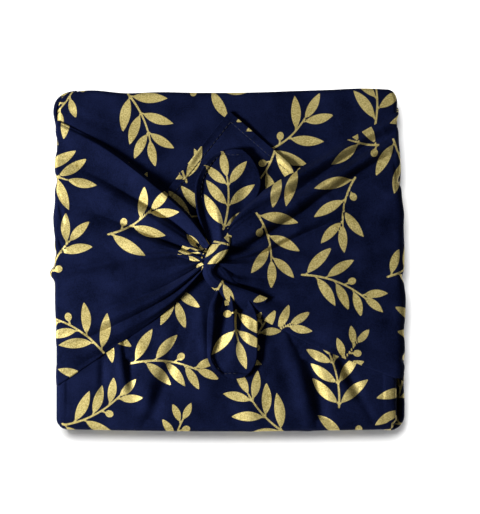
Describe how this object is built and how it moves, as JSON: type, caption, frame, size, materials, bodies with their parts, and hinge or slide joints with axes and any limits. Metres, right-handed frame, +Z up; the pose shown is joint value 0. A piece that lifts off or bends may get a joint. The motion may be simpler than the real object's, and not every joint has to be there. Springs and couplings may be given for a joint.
{
  "type": "furoshiki wrap",
  "caption": "Flat square parcel wrapped in one square of printed cotton, with its two side corners tied in a half knot on top.",
  "frame": {"origin": "Middle of the footprint, on the surface that the parcel lies on.", "axes": "+Z up. +X from the left wing to the right one. +Y the way the corner of the front flap points."},
  "size_m": [0.222, 0.2158, 0.0598],
  "materials": {
    "cloth": "navy cotton with a gold leaf print"
  },
  "bodies": {
    "root": {"furoshiki_cloth": "cloth"}
  },
  "joints": []
}
